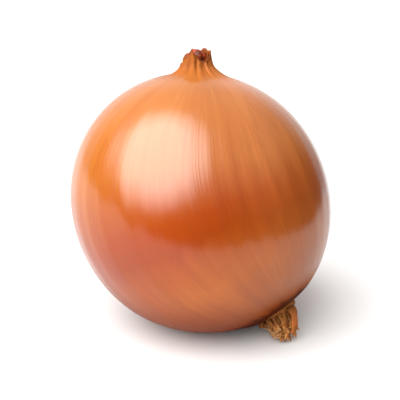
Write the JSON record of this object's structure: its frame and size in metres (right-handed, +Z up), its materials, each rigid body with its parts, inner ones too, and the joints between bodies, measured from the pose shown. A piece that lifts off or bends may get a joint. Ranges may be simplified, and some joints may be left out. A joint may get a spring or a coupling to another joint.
{
  "type": "onion",
  "caption": "Whole brown onion lying on its side: round dry-skinned bulb with a torn dried neck stub and a drooping tuft of dry roots, resting on a small flat spot.",
  "frame": {"origin": "on the table, under the middle of the onion's box", "axes": "+Z up, +X to the right and -Y to the front as the picture shows the onion; the neck points up and leans back, the root tuft points down to the front right"},
  "size_m": [0.0756, 0.0744, 0.0792],
  "materials": {
    "onion_skin": "dry, thin, smooth amber skin with a satin sheen",
    "dried_neck": "brown, papery and torn, matt",
    "dry_roots": "tan, fibrous, matt"
  },
  "bodies": {
    "root": {"bulb": "onion_skin", "neck": "dried_neck", "root_tuft": "dry_roots"}
  },
  "joints": []
}
